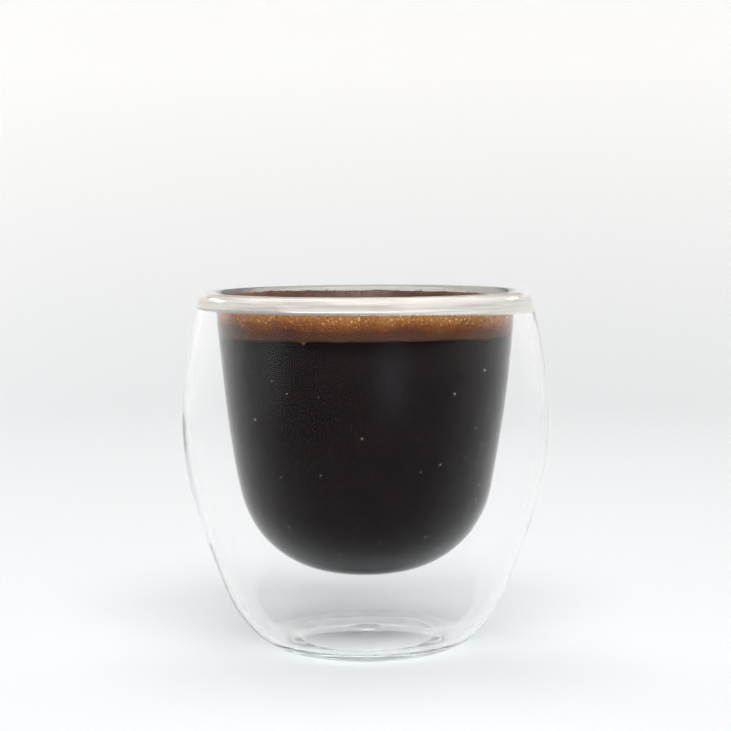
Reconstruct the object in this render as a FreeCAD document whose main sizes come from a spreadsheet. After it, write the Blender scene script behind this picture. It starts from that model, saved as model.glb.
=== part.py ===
"""A small double-walled glass of dark coffee with a thick layer of foam.

Three pieces, all round about the Z axis: the glass, the coffee in it and the
foam on top.  Millimetres, +Z up.  The origin is the middle of the foot, on the
surface that the glass stands on.

The glass is one piece.  An outer shell and an inner bowl are fused at the lip,
and the air between them is sealed in.  Its half section is therefore one
closed outline that reaches the axis twice: through the base and through the
bottom of the bowl.
"""
import FreeCAD
import Part
import Sketcher
import math
import os

os.makedirs("parts", exist_ok=True)
doc = FreeCAD.newDocument("CoffeeGlass")

# ---------------------------------------------------------------- dimensions
# A turn is the angle in degrees through which an arc of the outline bends.
SIZES = {
    "glass_height": 64.5,
    # the foot: a narrow flat ring round a shallow hollow
    "foot_radius": 13.3,
    "foot_width": 0.8,
    "hollow_round": 2.5,
    "hollow_height": 1.1,
    # the seal where the air was closed in: a drop of glass under the base
    "seal_radius": 1.8,
    "seal_drop": 0.6,
    # the outside of the shell, from the foot up
    "heel_radius": 10.0,
    "heel_turn": 43.1,
    "belly_radius": 22.0,
    "belly_turn": 25.8,
    "flank_radius": 233.0,
    "flank_turn": 3.8,
    "waist_radius": 53.3,
    "waist_turn": 19.4,
    "shoulder_radius": 84.8,
    "shoulder_turn": 11.5,
    "neck_radius": 44.0,
    "lip_radius": 1.8,
    # the sealed air
    "shell_wall": 1.3,
    "base_height": 3.1,
    "trough_radius": 6.0,
    "arch_radius": 1.2,
    # the bowl, on the side that faces the sealed air
    "bowl_wall": 1.2,
    "bowl_height": 13.5,
    "floor_radius": 37.5,
    "floor_turn": 13.5,
    "corner_radius": 18.6,
    "corner_turn": 63.9,
    "side_radius": 164.0,
    "side_turn": 8.1,
    # the drink
    "coffee_level": 56.9,
    "foam_level": 61.7,
    "foam_dip": 0.3,
}

sheet = doc.addObject("Spreadsheet::Sheet", "Sizes")
for row, (alias, number) in enumerate(SIZES.items(), start=1):
    sheet.set(f"A{row}", alias.replace("_", " "))
    sheet.set(f"B{row}", str(number))
    sheet.setAlias(f"B{row}", alias)
doc.recompute()

# ---------------------------------------------------------------- half sections
START, END, CENTRE = 1, 2, 3
ORIGIN = (-1, 1)
LEVEL, AXIS = -1, -2
LEFT, RIGHT = 1, -1


def half_section(body, name):
    """An empty sketch in the body's XZ plane: across is radius, up is height."""
    plane = next(item for item in body.Origin.OriginFeatures if item.Role == "XZ_Plane")
    sketch = body.newObject("Sketcher::SketchObject", name)
    sketch.AttachmentSupport = [(plane, "")]
    sketch.MapMode = "FlatFace"
    return sketch


class Outline:
    """A chain of arcs and lines in a sketch, drawn by walking along it.

    Each piece is smooth with the one before, unless a corner is made between
    them.  The walk only puts things near their place, and the constraints then
    hold them: an alias of the sheet is bound to its cell, and a plain number is
    a guess that stays free.
    """

    def __init__(self, sketch, radius, height):
        self.sketch = sketch
        self.point = FreeCAD.Vector(radius, height, 0)
        self.heading = 0.0
        self.joint = "Tangent"
        self.head = None
        self.tail = None

    def hold(self, kind, *where):
        self.sketch.addConstraint(Sketcher.Constraint(kind, *where))

    def bind(self, name, expression, kind, *where):
        """A constraint whose value comes from the sheet."""
        index = self.sketch.addConstraint(Sketcher.Constraint(kind, *where))
        self.sketch.renameConstraint(index, name)
        self.sketch.setExpression(f"Constraints.{name}", expression)

    def height(self, name, expression, place):
        """Hold a point at a height above the foot."""
        now = self.sketch.getPoint(*place).y
        self.bind(name, expression, "DistanceY", *ORIGIN, *place, now)

    def corner(self, degrees):
        """Set off in a new direction from the place reached."""
        self.heading = math.radians(degrees)
        self.joint = "Coincident"

    def join(self, index, head, tail):
        if self.tail:
            self.hold(self.joint, *self.tail, index, head)
        self.head = self.head or (index, head)
        self.tail = (index, tail)
        self.joint = "Tangent"
        return index

    def arc(self, name, radius, turn, side=LEFT, less=None, hidden=False):
        """Bend to one side.  The radius can be less by the wall named."""
        length = SIZES.get(radius, radius) - SIZES.get(less, 0)
        angle = math.radians(SIZES.get(turn, turn))
        first = self.heading - side * math.pi / 2
        last = first + side * angle
        centre = self.point - length * FreeCAD.Vector(math.cos(first), math.sin(first), 0)
        circle = Part.Circle(centre, FreeCAD.Vector(0, 0, 1), length)
        curve = Part.ArcOfCircle(circle, min(first, last), max(first, last))
        index = self.sketch.addGeometry(curve, hidden)
        self.join(index, *((START, END) if side == LEFT else (END, START)))
        if radius in SIZES:
            rule = f"Sizes.{radius} - Sizes.{less}" if less else f"Sizes.{radius}"
            self.bind(f"{name}_radius", rule, "Radius", index, length)
        if turn in SIZES:
            self.bind(f"{name}_turn", f"Sizes.{turn} * 1 deg", "Angle", index, angle)
        self.heading += side * angle
        self.point = centre + length * FreeCAD.Vector(math.cos(last), math.sin(last), 0)
        return index

    def line(self, length, hidden=False):
        """Straight on."""
        ahead = FreeCAD.Vector(math.cos(self.heading), math.sin(self.heading), 0)
        goal = self.point + length * ahead
        index = self.sketch.addGeometry(Part.LineSegment(self.point, goal), hidden)
        self.point = goal
        return self.join(index, START, END)


def on_axis(walk, arc, place):
    """Hold an arc's end on the axis, and its centre too, so it crosses square."""
    walk.hold("PointOnObject", arc, place, AXIS)
    walk.hold("PointOnObject", arc, CENTRE, AXIS)


def along_axis(sketch, lower, upper):
    """Close the outline with a line up the axis between two of its points."""
    ends = sketch.getPoint(*lower), sketch.getPoint(*upper)
    index = sketch.addGeometry(Part.LineSegment(*ends), False)
    sketch.addConstraint(Sketcher.Constraint("Coincident", index, START, *lower))
    sketch.addConstraint(Sketcher.Constraint("Coincident", index, END, *upper))


def bowl(sketch, wall=None, hidden=False):
    """Walk up the bowl from its lowest point, on the axis, to its straight side.

    Without a wall this is the side that faces the sealed air.  With it, it is
    the inside that the drink touches.
    """
    height = SIZES["bowl_height"] + SIZES.get(wall, 0)
    rule = f"Sizes.bowl_height + Sizes.{wall}" if wall else "Sizes.bowl_height"
    side = "inner" if wall else "outer"
    walk = Outline(sketch, 0, height)
    floor = walk.arc(f"{side}_floor", "floor_radius", "floor_turn", less=wall, hidden=hidden)
    on_axis(walk, floor, START)
    walk.height(f"{side}_height", rule, (floor, START))
    walk.arc(f"{side}_corner", "corner_radius", "corner_turn", less=wall, hidden=hidden)
    walk.arc(f"{side}_side", "side_radius", "side_turn", less=wall, hidden=hidden)
    return walk


def revolve(body, sketch, name):
    """Turn a half section once round the axis."""
    feature = body.newObject("PartDesign::Revolution", name)
    feature.Profile = sketch
    feature.ReferenceAxis = (sketch, ["V_Axis"])
    feature.Angle = 360
    doc.recompute()
    return feature


# ------------------------------------------------------------------- the glass
def draw_glass(sketch):
    """The half section of the glass, with the sealed air as a bay in it."""
    # The outside, from the outer edge of the foot up to the crest of the lip.
    shell = Outline(sketch, SIZES["foot_radius"], 0)
    heel = shell.arc("heel", "heel_radius", "heel_turn")
    shell.arc("belly", "belly_radius", "belly_turn")
    outside = shell.tail
    gauge_start = shell.point
    square = shell.heading + math.pi / 2
    shell.arc("flank", "flank_radius", "flank_turn")
    shell.arc("waist", "waist_radius", "waist_turn")
    shell.arc("shoulder", "shoulder_radius", "shoulder_turn")
    shell.arc("neck", "neck_radius", 4.4)
    lip = shell.arc("lip", "lip_radius", 72)
    shell.hold("Vertical", *shell.tail, lip, CENTRE)
    shell.height("glass_height", "Sizes.glass_height", shell.tail)

    # The inside of the bowl.  The inside of the lip is whatever arc joins its
    # straight side to the crest.
    inside_bowl = bowl(sketch, wall="bowl_wall")
    inside_bowl.line(14)
    inside_bowl.arc("inner_lip", 2.4, 85.5, RIGHT)
    shell.hold("Tangent", *inside_bowl.tail, *shell.tail)

    # The sealed air: up the outside of the bowl, over the arch under the lip
    # and down the inside of the shell.
    air = bowl(sketch)
    air.line(12)
    air.arc("arch", "arch_radius", 158, RIGHT)
    air.arc("inner_shoulder", "shoulder_radius", 10, RIGHT, less="shell_wall")
    air.arc("inner_waist", "waist_radius", "waist_turn", RIGHT, less="shell_wall")
    air.arc("inner_flank", "flank_radius", "flank_turn", RIGHT, less="shell_wall")
    inside = air.tail
    air.arc("inner_belly", "belly_radius", "belly_turn", RIGHT, less="shell_wall")

    # A gauge line square to both faces of the shell gives it one thickness
    # from the shoulder down to the belly.
    across = SIZES["shell_wall"] * FreeCAD.Vector(math.cos(square), math.sin(square), 0)
    gauge_line = Part.LineSegment(gauge_start, gauge_start + across)
    gauge = sketch.addGeometry(gauge_line, True)
    air.hold("Perpendicular", *outside, gauge, START)
    air.hold("Perpendicular", *inside, gauge, END)
    air.bind("shell_wall", "Sizes.shell_wall", "Distance", gauge, SIZES["shell_wall"])

    # The trough inside the heel, then over the raised base to the axis.
    air.arc("trough", "trough_radius", 51, RIGHT)
    base = air.arc("base", 103, 8)
    on_axis(air, base, END)
    air.height("base_height", "Sizes.base_height", air.tail)

    # The hollow under the base and the flat ring of the foot.
    under = Outline(sketch, 0, SIZES["hollow_height"])
    hollow = under.arc("hollow", 69, 10, RIGHT)
    on_axis(under, hollow, END)
    under.height("hollow_height", "Sizes.hollow_height", under.head)
    under.arc("hollow_round", "hollow_round", 10)
    foot = under.line(SIZES["foot_width"])
    under.hold("Tangent", *under.tail, heel, START)
    under.hold("PointOnObject", foot, START, LEVEL)
    under.hold("PointOnObject", foot, END, LEVEL)
    under.bind("foot_radius", "Sizes.foot_radius", "DistanceX", *ORIGIN, *under.tail,
               SIZES["foot_radius"])
    under.bind("foot_width", "Sizes.foot_width", "Distance", foot, SIZES["foot_width"])

    along_axis(sketch, under.head, air.tail)
    along_axis(sketch, air.head, inside_bowl.head)


def draw_seal(sketch):
    """A shallow drop of glass that hangs from the middle of the hollow."""
    radius, drop = SIZES["seal_radius"], SIZES["seal_drop"]
    ball = (radius ** 2 + drop ** 2) / (2 * drop)
    walk = Outline(sketch, 0, SIZES["hollow_height"] - drop)
    cap = walk.arc("cap", ball, math.degrees(math.asin(radius / ball)))
    on_axis(walk, cap, START)
    walk.height("seal_tip", "Sizes.hollow_height - Sizes.seal_drop", walk.head)
    walk.height("seal_edge", "Sizes.hollow_height", walk.tail)
    walk.bind("seal_radius", "Sizes.seal_radius", "DistanceX", *ORIGIN, *walk.tail, radius)
    walk.corner(90)
    side = walk.line(SIZES["base_height"] / 4)
    walk.hold("Vertical", side)
    walk.height("seal_root", "Sizes.hollow_height + Sizes.base_height / 4", walk.tail)
    walk.corner(180)
    root = walk.line(radius)
    walk.hold("Horizontal", root)
    walk.hold("PointOnObject", *walk.tail, AXIS)
    along_axis(sketch, walk.head, walk.tail)


def make_glass():
    body = doc.addObject("PartDesign::Body", "Glass")
    body.Label = "glass"
    walls = half_section(body, "GlassSection")
    draw_glass(walls)
    revolve(body, walls, "GlassWalls")
    seal = half_section(body, "SealSection")
    draw_seal(seal)
    revolve(body, seal, "Seal")
    return body


# ------------------------------------------------------------------- the drink
def make_coffee():
    """The coffee fills the bowl up to the underside of the foam."""
    body = doc.addObject("PartDesign::Body", "Coffee")
    body.Label = "coffee"
    section = half_section(body, "CoffeeSection")
    walk = bowl(section, wall="bowl_wall")
    walk.line(8)
    walk.height("coffee_level", "Sizes.coffee_level", walk.tail)
    walk.corner(180)
    top = walk.line(walk.point.x)
    walk.hold("Horizontal", top)
    walk.hold("PointOnObject", *walk.tail, AXIS)
    along_axis(section, walk.head, walk.tail)
    revolve(body, section, "CoffeeFill")
    return body


def make_foam():
    """The foam lies on the coffee and stands a little higher at the glass."""
    body = doc.addObject("PartDesign::Body", "Foam")
    body.Label = "foam"
    section = half_section(body, "FoamSection")
    guide = bowl(section, wall="bowl_wall", hidden=True)
    guide.line(8, hidden=True)
    guide.height("coffee_level", "Sizes.coffee_level", guide.tail)
    rim_radius, rim_heading = guide.point.x, math.degrees(guide.heading)

    walk = Outline(section, 0, SIZES["coffee_level"])
    underside = walk.line(rim_radius)
    walk.hold("Horizontal", underside)
    walk.hold("PointOnObject", *walk.head, AXIS)
    walk.hold("Coincident", *walk.tail, *guide.tail)
    walk.corner(rim_heading)
    edge = walk.line(SIZES["foam_level"] - SIZES["coffee_level"])
    walk.hold("Parallel", edge, guide.tail[0])
    walk.height("foam_level", "Sizes.foam_level", walk.tail)
    walk.corner(181.4)
    top = walk.arc("top", 1080, 1.4, RIGHT)
    on_axis(walk, top, START)
    walk.height("foam_middle", "Sizes.foam_level - Sizes.foam_dip", walk.tail)
    along_axis(section, walk.head, walk.tail)
    revolve(body, section, "FoamLayer")
    return body


# ------------------------------------------------------------------- the files
pieces = [make_glass(), make_coffee(), make_foam()]
doc.recompute()
for item in doc.Objects:
    if "Invalid" in item.State or "Error" in item.State:
        raise RuntimeError(f"{item.Name} failed: {item.State}")
    if item.TypeId == "Sketcher::SketchObject" and not item.FullyConstrained:
        raise RuntimeError(f"{item.Name} isn't fully constrained")
for piece in pieces:
    shape = piece.Shape
    if shape.isNull() or not shape.isValid() or len(shape.Solids) != 1:
        raise RuntimeError(f"{piece.Label} isn't one valid solid")
    shape.exportStep(f"parts/{piece.Label}.step")
    print(f"{piece.Label}: {shape.Volume / 1000:.2f} cm3, top at {shape.BoundBox.ZMax:.2f}")
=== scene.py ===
# %% [markdown]
# # Dark coffee in a double-walled glass
#
# This notebook dresses a finished construction model in its real looks.  The
# model has three solids, all round about the Z axis: the glass, the coffee and
# the foam.  Each is replaced here by a mesh that is fine enough for light to
# bend through it properly.  Then come the small things that a construction
# model leaves out: bubbles, the film on the wall, specks, and a veil of painted light in the lip.
#
# Everything is in metres.  The frame says where each solid lies, so places are
# read from it and not typed in again.

# %% Load the frame
import math
import random
import bpy
import numpy as np
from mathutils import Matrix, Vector, noise


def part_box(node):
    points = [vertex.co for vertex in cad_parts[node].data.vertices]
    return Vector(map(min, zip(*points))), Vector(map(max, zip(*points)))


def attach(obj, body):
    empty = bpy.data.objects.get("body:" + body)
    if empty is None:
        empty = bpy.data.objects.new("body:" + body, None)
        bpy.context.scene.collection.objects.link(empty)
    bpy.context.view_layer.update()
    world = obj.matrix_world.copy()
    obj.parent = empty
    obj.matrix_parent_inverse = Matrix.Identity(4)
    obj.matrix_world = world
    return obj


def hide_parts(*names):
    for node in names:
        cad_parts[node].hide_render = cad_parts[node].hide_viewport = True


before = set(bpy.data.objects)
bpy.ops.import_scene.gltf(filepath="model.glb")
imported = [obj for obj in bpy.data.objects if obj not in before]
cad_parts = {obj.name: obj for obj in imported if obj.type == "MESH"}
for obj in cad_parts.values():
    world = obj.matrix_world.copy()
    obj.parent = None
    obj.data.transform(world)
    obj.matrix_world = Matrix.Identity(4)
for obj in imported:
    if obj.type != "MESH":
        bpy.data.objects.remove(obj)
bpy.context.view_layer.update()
MM = 0.001
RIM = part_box("glass")[1].z / MM
BOWL_BOTTOM, COFFEE_LEVEL = (corner.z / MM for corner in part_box("coffee"))
FOAM_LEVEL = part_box("foam")[1].z / MM
print(f"rim {RIM:.2f}, bowl from {BOWL_BOTTOM:.2f} mm")
print(f"coffee to {COFFEE_LEVEL:.2f}, foam to {FOAM_LEVEL:.2f} mm")

# %% [markdown]
# ## A way to draw half sections
#
# A blown glass has no corners: its outline is a chain of arcs, each one smooth
# with the last.  Such a chain can be drawn by hand as a Bezier curve, but it is
# easier to get exactly right by *walking* along it: go forward, bend left by so
# many degrees on such a radius, and note where the feet were.  The walk below
# works in millimetres, across (the radius) and up (the height).

# %% The walk
ARC_STEP, ARC_BEND, RUN_STEP = 1.0, 8.0, 2.0


def turned(degrees):
    """The unit vector that points in a direction, in degrees from outward."""
    angle = math.radians(degrees)
    return np.array([math.cos(angle), math.sin(angle)])


class Walk:
    """A half section, traced from one place by arcs and straight runs."""

    def __init__(self, radius, height, heading=0.0):
        self.trail = [np.array([radius, height], float)]
        self.heading = heading

    @property
    def here(self):
        return self.trail[-1]

    def arc(self, radius, turn):
        """Bend by a turn in degrees: left if positive, right if negative."""
        side = 1 if turn > 0 else -1
        centre = self.here + side * radius * turned(self.heading + 90)
        for_length = math.ceil(math.radians(abs(turn)) * radius / ARC_STEP)
        for_bend = math.ceil(abs(turn) / ARC_BEND)
        steps = max(3, for_length, for_bend)
        for step in range(1, steps + 1):
            part = turn * step / steps
            self.trail.append(centre - side * radius * turned(self.heading + 90 + part))
        self.heading += turn
        return centre

    def straight(self, length):
        """Go straight on."""
        steps = max(1, math.ceil(length / RUN_STEP))
        start, ahead = self.here, turned(self.heading)
        for step in range(1, steps + 1):
            self.trail.append(start + ahead * length * step / steps)


# %% [markdown]
# ## The sections of the glass
#
# The glass is two blown cups, one inside the other, melted together at the lip.
# The outer one swells in the middle and tucks in at the foot.  The inner one is
# a plain bowl with straight, slightly open sides.  Two surfaces describe it all:
# the *skin*, which hands and drink touch, and the wall of the *sealed air*.
#
# Most arcs have a radius and a turn of their own.  The rest are worked out, as a
# draughtsman would: the inside of the lip has to meet the crest, and the arch
# over the air has to touch both walls.

# %% The outside of the shell
HEEL, BELLY, FLANK = (10.0, 43.1), (22.0, 25.8), (233.0, 3.8)
WAIST, SHOULDER, NECK_RADIUS = (53.3, 19.4), (84.8, 11.5), 44.0
LIP_RADIUS = 1.8
FOOT_RADIUS, FOOT_WIDTH = 13.3, 0.8
LEAST_NECK_TURN, MOST_NECK_TURN, HALVINGS = 0.0, 12.0, 40


def outside(neck_turn):
    """From the outer edge of the foot up to the crest of the lip."""
    walk = Walk(FOOT_RADIUS, 0.0)
    for radius, turn in (HEEL, BELLY, FLANK, WAIST):
        walk.arc(radius, turn)
    shoulder_centre = walk.arc(*SHOULDER)
    walk.arc(NECK_RADIUS, neck_turn)
    walk.arc(LIP_RADIUS, 180 - walk.heading)
    return walk, shoulder_centre


low, high = LEAST_NECK_TURN, MOST_NECK_TURN
for _ in range(HALVINGS):
    middle = (low + high) / 2
    low, high = (middle, high) if outside(middle)[0].here[1] < RIM else (low, middle)
shell_walk, shoulder_centre = outside(middle)
crest = shell_walk.here
print(f"neck turns {middle:.2f} degrees, crest at radius {crest[0]:.2f}, height {crest[1]:.2f} mm")

# %% The inside of the bowl
BOWL_WALL, SHELL_WALL = 1.2, 1.3
FLOOR, CORNER, SIDE = (37.5, 13.5), (18.6, 63.9), (164.0, 8.1)


def bowl(thinner):
    """Up the bowl from the axis, that much inside its outer face."""
    walk = Walk(0.0, BOWL_BOTTOM - BOWL_WALL + thinner)
    for radius, turn in (FLOOR, CORNER, SIDE):
        walk.arc(radius - thinner, turn)
    return walk


inside_walk = bowl(BOWL_WALL)
ahead = turned(inside_walk.heading)
bend = np.array([ahead[1], 1 - ahead[0]])
run, lip_inside = np.linalg.solve(np.column_stack([ahead, bend]), crest - inside_walk.here)
inside_walk.straight(run)
inside_walk.arc(lip_inside, -inside_walk.heading)
print(f"the lip is rounded {LIP_RADIUS} mm outside and {lip_inside:.2f} mm inside")

# %% The sealed air
ARCH_RADIUS, TROUGH_RADIUS = 1.2, 6.0
BASE_TOP = 3.1

air_walk = bowl(0.0)
ahead = turned(air_walk.heading)
arch_start = air_walk.here + ARCH_RADIUS * turned(air_walk.heading - 90) - shoulder_centre
reach = SHOULDER[0] - SHELL_WALL - ARCH_RADIUS
along = arch_start @ ahead
run = -along + math.sqrt(along ** 2 - arch_start @ arch_start + reach ** 2)
air_walk.straight(run)
arch_centre = arch_start + run * ahead
meeting = math.degrees(math.atan2(arch_centre[1], arch_centre[0]))
air_walk.arc(ARCH_RADIUS, meeting - 90 - air_walk.heading)
shoulder_left = air_walk.heading + 180 - sum(turn for _, turn in (HEEL, BELLY, FLANK, WAIST))
air_walk.arc(SHOULDER[0] - SHELL_WALL, -shoulder_left)
for radius, turn in (WAIST, FLANK, BELLY):
    air_walk.arc(radius - SHELL_WALL, -turn)

# %% The raised floor of the sealed air
trough = air_walk.here + TROUGH_RADIUS * turned(air_walk.heading - 90)
drop = trough[1] - BASE_TOP
base_radius = (trough @ [trough[0], 0] + drop ** 2 - TROUGH_RADIUS ** 2) / (2 * (TROUGH_RADIUS - drop))
base_slope = math.degrees(math.asin(trough[0] / (base_radius + TROUGH_RADIUS)))
air_walk.arc(TROUGH_RADIUS, -(HEEL[1] + base_slope))
air_walk.arc(base_radius, base_slope)
print(f"the air reaches from {air_walk.here[1]:.2f} to {max(p[1] for p in air_walk.trail):.2f} mm")

# %% The hollow under the base
HOLLOW, HOLLOW_ROUND, HOLLOW_MIDDLE = 1.1, 2.5, 0.01
SEAL_RADIUS, SEAL_DROP = 1.3, 0.6

slope = 2 * math.degrees(math.atan(HOLLOW / (FOOT_RADIUS - FOOT_WIDTH)))
hollow_radius = (FOOT_RADIUS - FOOT_WIDTH) / math.sin(math.radians(slope)) - HOLLOW_ROUND
under_walk = Walk(0.0, HOLLOW)
under_walk.straight(HOLLOW_MIDDLE)
under_walk.arc(hollow_radius, -slope)
under_walk.arc(HOLLOW_ROUND, slope)
under_walk.straight(FOOT_WIDTH)
under = np.array(under_walk.trail)
under[:, 1] -= SEAL_DROP * np.exp(-(under[:, 0] / SEAL_RADIUS) ** 2)
print(f"the base is {BASE_TOP - HOLLOW:.1f} mm thick, its foot {2 * FOOT_RADIUS:.1f} mm across")

# %% [markdown]
# ## Turning a section into a mesh
#
# Blender's Screw modifier turns an outline round an axis, but it leaves doubled
# points on the axis.  A few lines of mesh code give clean poles, faces that all
# look outwards, and room to make the result slightly uneven, as blown glass is.
# The solid is kept on the left of the walk, so the faces look to the right.

# %% The lathe
ON_AXIS = 1e-6


def band(lower, upper):
    """Faces between two rings of as many corners, with doubled corners dropped."""
    faces = []
    for here in range(len(lower)):
        there = (here + 1) % len(lower)
        corners = [lower[here], lower[there], upper[there], upper[here]]
        faces.append(list(dict.fromkeys(corners)))
    return faces


def bands(rings):
    """Faces between each ring and the next."""
    return [face for lower, upper in zip(rings, rings[1:]) for face in band(lower, upper)]


def lathe(section, segments, shape=None):
    """Points and faces of a section turned round the axis, in millimetres.

    The shape may move the points, to make the result uneven.
    """
    section = np.asarray(section)
    angles = np.arange(segments) * 2 * math.pi / segments
    points, rings, count = [], [], 0
    for radius, height in section:
        if radius < ON_AXIS:
            points.append(np.array([[0.0, 0.0, height]]))
            rings.append([count] * segments)
        else:
            across = radius * np.column_stack([np.cos(angles), np.sin(angles)])
            points.append(np.column_stack([across, np.full(segments, height)]))
            rings.append(range(count, count + segments))
        count += len(points[-1])
    points = np.vstack(points)
    return (shape(points) if shape else points), bands(rings)


# %% [markdown]
# ## From points to a piece
#
# A piece may be joined from several parts, such as the skin of the glass and
# the wall of the air in it.  Each one rides on the frame's only body.  The
# volume of a closed mesh is a good test: it should be that of the solid that
# it stands for.

# %% Pieces
CM3_IN_M3 = 1e6


def volume(mesh):
    """Signed volume in cubic centimetres: negative if it is inside out."""
    corners = np.empty(len(mesh.loop_triangles) * 3, np.int32)
    mesh.loop_triangles.foreach_get("vertices", corners)
    places = np.empty(len(mesh.vertices) * 3)
    mesh.vertices.foreach_get("co", places)
    a, b, c = places.reshape(-1, 3)[corners.reshape(-1, 3)].transpose(1, 0, 2)
    return float(np.sum(a * np.cross(b, c)) / 6 * CM3_IN_M3)


def add_piece(name, parts, replaces=None):
    """Join parts, each points and faces in millimetres, into one smooth piece."""
    points, faces, offset = [], [], 0
    for part_points, part_faces in parts:
        points.append(part_points)
        faces += [[corner + offset for corner in face] for face in part_faces]
        offset += len(part_points)
    mesh = bpy.data.meshes.new(name)
    mesh.from_pydata((np.vstack(points) * MM).tolist(), [], faces)
    mesh.shade_smooth()
    piece = bpy.data.objects.new(name, mesh)
    bpy.context.scene.collection.objects.link(piece)
    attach(piece, "root")
    if replaces:
        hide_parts(replaces)
    mesh.calc_loop_triangles()
    print(f"{name}: {len(mesh.loop_triangles)} triangles, {volume(mesh):.2f} cm3")
    return piece


# %% [markdown]
# ## The glass
#
# Glass blown by hand is never quite round, and its walls are a little thicker
# here than there.  The eye doesn't see the thickness, but it sees what it does:
# straight things behind the glass waver.  A slow noise moves the skin and the
# air's wall by a few hundredths of a millimetre, each in its own way.  It dies
# down towards the foot and the crest, so that the glass stands and fits.

# %% Blow the glass
BLOWN_SIZE, BLOWN_DEPTH, BLOWN_IN = 17.0, 0.07, 0.6
STEADY_FOOT, STEADY_RIM, LEAST_AT_RIM = 6.0, 3.0, 0.15
SKIN_NOISE, AIR_NOISE = 3.0, 11.0
GLASS_AROUND = 256


def blown(offset):
    """A shape for the lathe that makes a surface slightly uneven."""
    def shape(points):
        for index, point in enumerate(points):
            radius = math.hypot(point[0], point[1])
            if radius < ON_AXIS:
                continue
            below_rim = max(0.0, RIM - point[2]) / STEADY_RIM
            steady = min(1.0, point[2] / STEADY_FOOT) * min(1.0, below_rim + LEAST_AT_RIM)
            wave = noise.noise(Vector(point) / BLOWN_SIZE + Vector((offset, 0, 0)))
            push = BLOWN_DEPTH * steady * (wave - BLOWN_IN)
            points[index, :2] *= 1 + push / radius
        return points
    return shape


skin = list(under) + shell_walk.trail[1:] + inside_walk.trail[-2::-1]
glass = add_piece("double_walled_glass", [
    lathe(skin, GLASS_AROUND, blown(SKIN_NOISE)),
    lathe(air_walk.trail, GLASS_AROUND, blown(AIR_NOISE)),
], "glass")

# %% [markdown]
# ## The coffee
#
# Liquid touches glass with nothing between.  If the coffee stopped exactly at
# the bowl, or short of it, a bright film of air would show all round.  So it is
# made to reach a tenth of a millimetre into the wall, and then light that
# travels in the glass meets coffee straight away.  Its top lies under the foam
# and is plain.

# %% Pour the coffee
SOAK = 0.10
UNDER_FOAM, TOP_EDGE = 0.9, 0.4
COFFEE_AROUND = 192


def bowl_radius(height):
    """Inside radius of the bowl's straight side at a height."""
    heights = [place[1] for place in inside_walk.trail]
    radii = [place[0] for place in inside_walk.trail]
    return float(np.interp(height, heights, radii))


fill_walk = bowl(BOWL_WALL - SOAK)
top = COFFEE_LEVEL + UNDER_FOAM
fill_walk.straight((top - fill_walk.here[1]) / turned(fill_walk.heading)[1])
fill = fill_walk.trail + [np.array([fill_walk.here[0] - TOP_EDGE, top]), np.array([0.0, top])]
coffee = add_piece("coffee_body", [lathe(fill, COFFEE_AROUND)], "coffee")

# %% [markdown]
# ## The foam: its edges
#
# Foam isn't level.  Its top rises and dips as it settles round the glass, its
# underside hangs into the coffee in soft bulges, and here and there a heavy
# drop of it sags lower.  An edge that closes on itself after one turn is a sum
# of waves with whole numbers of crests.

# %% Wavy edges
def waves(angle, seed, crests, size):
    """A closed wavy line round the glass, of about that size."""
    chance = random.Random(seed)
    total = 0.0
    for crest_count in crests:
        phase = chance.uniform(0, 2 * math.pi)
        total = total + np.sin(crest_count * angle + phase) * chance.uniform(0.5, 1.0)
    return size * total / math.sqrt(len(crests))


# %% The top edge and the bottom edge
FRONT = -math.pi / 2
TILT, SADDLE, RISE_BEHIND, RISE = 0.5, 0.45, 0.3, 0.05
# Each drip: how far round from the front, how wide (both in radians), how deep.
DRIPS = [(-0.41, 0.022, 0.55), (0.95, 0.03, 0.3), (-1.2, 0.03, 0.25),
         (2.3, 0.03, 0.5), (3.6, 0.04, 0.4)]


def foam_top(angle):
    """Height of the foam at the glass: lower at both sides, most on the right."""
    tilt = -TILT * np.cos(angle) - SADDLE * np.cos(angle) ** 2
    behind = RISE_BEHIND * np.maximum(0.0, np.sin(angle)) ** 1.5
    small = waves(angle, seed=5, crests=(3, 5, 8, 13, 21), size=0.09)
    small = small + waves(angle, seed=6, crests=(34, 55, 89), size=0.03)
    return FOAM_LEVEL + RISE + tilt + behind + small


def foam_bottom(angle):
    """Height of the line between foam and coffee, with the drips that hang."""
    line = COFFEE_LEVEL - SADDLE * np.cos(angle) ** 2
    line = line + waves(angle, seed=7, crests=(2, 3, 7, 12), size=0.12)
    line = line + waves(angle, seed=8, crests=(23, 41, 60), size=0.05)
    for place, width, depth in DRIPS:
        gap = np.angle(np.exp(1j * (angle - FRONT - place)))
        line = line - depth * np.exp(-(gap / width) ** 2)
    return line


print(f"in front the foam is {foam_top(FRONT) - foam_bottom(FRONT):.1f} mm thick")


# %% [markdown]
# ## The foam: its body
#
# The side of the foam is a band between those two edges, pressed into the glass
# a little deeper than the coffee so that it always covers it.  Its top is a
# grid of rings that climbs to the glass at the rim.  Slow swellings, and small
# ones on them, give it relief.

# %% The top of the foam
FOAM_SOAK = 0.16
WALL = bowl_radius(FOAM_LEVEL)
SUNK, CLIMB = 0.25, 9
# Each swelling: its height, its width, and the layer of noise that it reads.
SWELLINGS = [(0.22, 9, 4.0), (0.07, 2.2, 9.0)]


def foam_surface(x, y):
    """Height of the top of the foam over a place, in millimetres."""
    rim = float(foam_top(math.atan2(y, x)))
    near = (math.hypot(x, y) / WALL) ** CLIMB
    middle = FOAM_LEVEL - SUNK
    swell = 0.0
    for height, width, layer in SWELLINGS:
        swell += height * noise.noise(Vector((x, y, layer)) / width)
    return middle + (rim - middle) * near + swell * (1 - near)


# %% Make the foam
AROUND, ROWS_UP, RINGS_IN = 384, 14, 120

angles = np.arange(AROUND) * 2 * math.pi / AROUND


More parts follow.
